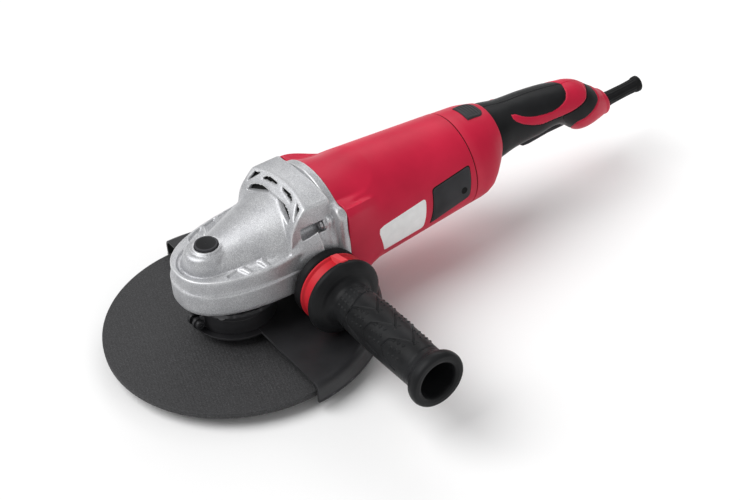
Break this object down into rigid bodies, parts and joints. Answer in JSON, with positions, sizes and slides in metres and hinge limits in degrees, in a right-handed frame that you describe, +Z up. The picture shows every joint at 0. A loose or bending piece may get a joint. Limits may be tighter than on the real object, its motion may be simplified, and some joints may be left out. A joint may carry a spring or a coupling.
{
  "type": "angle grinder",
  "caption": "Two-handed angle grinder with a bevel gear head, half guard, screw-in side handle and a rear handle that turns on the motor housing.",
  "frame": {"origin": "centre of the spindle's free end", "axes": "+Z up the spindle into the gear head, +Y back along the motor to the rear handle, +X out along the side handle (the user's left, seen from behind)"},
  "size_m": [0.331, 0.558, 0.1315],
  "materials": {
    "cast_aluminium": "sand-cast, satin",
    "abrasive": "coarse grit",
    "steel": "machined",
    "black_steel": "black satin",
    "red_plastic": "satin",
    "black_rubber": "matte",
    "dark_plastic": "fine texture",
    "label_white": "smooth",
    "copper": "enamelled wire",
    "carbon": "matte",
    "lamination": "stacked sheet",
    "felt": "felt"
  },
  "bodies": {
    "housing": {"gear_housing": "cast_aluminium", "bearing_retainer": "steel", "bearing_cover": "black_steel", "cover_screws": "steel", "spindle_seal": "felt", "housing_screws": "steel", "spindle_lock_spring": "steel", "motor_housing": "red_plastic", "stator_core": "lamination", "stator_coils": "copper", "fan_baffle": "dark_plastic", "brush_holders": "copper", "carbon_brushes": "carbon", "brush_springs": "steel", "label_plates": "label_white", "brush_covers": "dark_plastic", "brush_cover_screws": "steel", "side_handle_stud": "steel", "side_handle_base": "dark_plastic", "side_handle_ring": "red_plastic", "side_handle_grip": "black_rubber", "spindle_bearing_outer_ring": "steel", "spindle_bearing_balls": "steel", "top_bearing_outer_ring": "steel", "top_bearing_balls": "steel", "pinion_bearing_outer_ring": "steel", "pinion_bearing_balls": "steel", "rear_bearing_outer_ring": "steel", "rear_bearing_balls": "steel"},
    "spindle": {"spindle": "steel", "crown_gear": "steel", "inner_flange": "steel", "grinding_disc": "abrasive", "clamp_nut": "steel", "spindle_bearing_inner_ring": "steel", "top_bearing_inner_ring": "steel"},
    "armature": {"armature_shaft": "steel", "armature_core": "lamination", "armature_windings": "copper", "commutator": "copper", "cooling_fan": "dark_plastic", "pinion_gear": "steel", "pinion_bearing_inner_ring": "steel", "rear_bearing_inner_ring": "steel"},
    "guard": {"guard": "black_steel", "guard_collar": "black_steel", "guard_clamp_screw": "steel"},
    "spindle_lock": {"spindle_lock_button": "dark_plastic"},
    "rear_handle": {"rear_cap": "red_plastic", "handle_left": "black_rubber", "handle_right": "black_rubber", "handle_pommel": "red_plastic", "power_switch": "dark_plastic", "handle_screws": "steel", "cord_boot": "black_rubber"},
    "rotation_lock": {"rotation_lock_button": "dark_plastic"},
    "trigger": {"trigger": "dark_plastic"}
  },
  "joints": [
    {"name": "spindle_spin", "type": "hinge", "parent": "housing", "child": "spindle", "pos_m": [0, 0, 0], "axis": [0, 0, 1], "continuous": true},
    {"name": "armature_spin", "type": "hinge", "parent": "housing", "child": "armature", "pos_m": [0, 0, 0.076], "axis": [0, 1, 0], "continuous": true},
    {"name": "guard_turn", "type": "hinge", "parent": "housing", "child": "guard", "pos_m": [0, 0, 0.03], "axis": [0, 0, 1], "range_deg": [-90, 90]},
    {"name": "spindle_lock_press", "type": "slide", "parent": "housing", "child": "spindle_lock", "axis": [0, 0, -1], "range_m": [0, 0.006], "stiffness_N_per_m": 600, "springref_m": -0.002, "deforming": ["spindle_lock_spring"]},
    {"name": "handle_turn", "type": "hinge", "parent": "housing", "child": "rear_handle", "pos_m": [0, 0.2228, 0.076], "axis": [0, 1, 0], "range_deg": [-90, 90]},
    {"name": "rotation_lock_press", "type": "slide", "parent": "rear_handle", "child": "rotation_lock", "axis": [0, 0, -1], "range_m": [0, 0.003], "stiffness_N_per_m": 800, "springref_m": -0.002},
    {"name": "trigger_squeeze", "type": "hinge", "parent": "rear_handle", "child": "trigger", "pos_m": [0, 0.347, 0.064], "axis": [-1, 0, 0], "range_deg": [0, 6], "stiffness_Nm_per_rad": 1.5, "springref_deg": -8.59}
  ],
  "couplings": [
    {"joint": "armature_spin", "follows": "spindle_spin", "ratio": 3.9091}
  ]
}
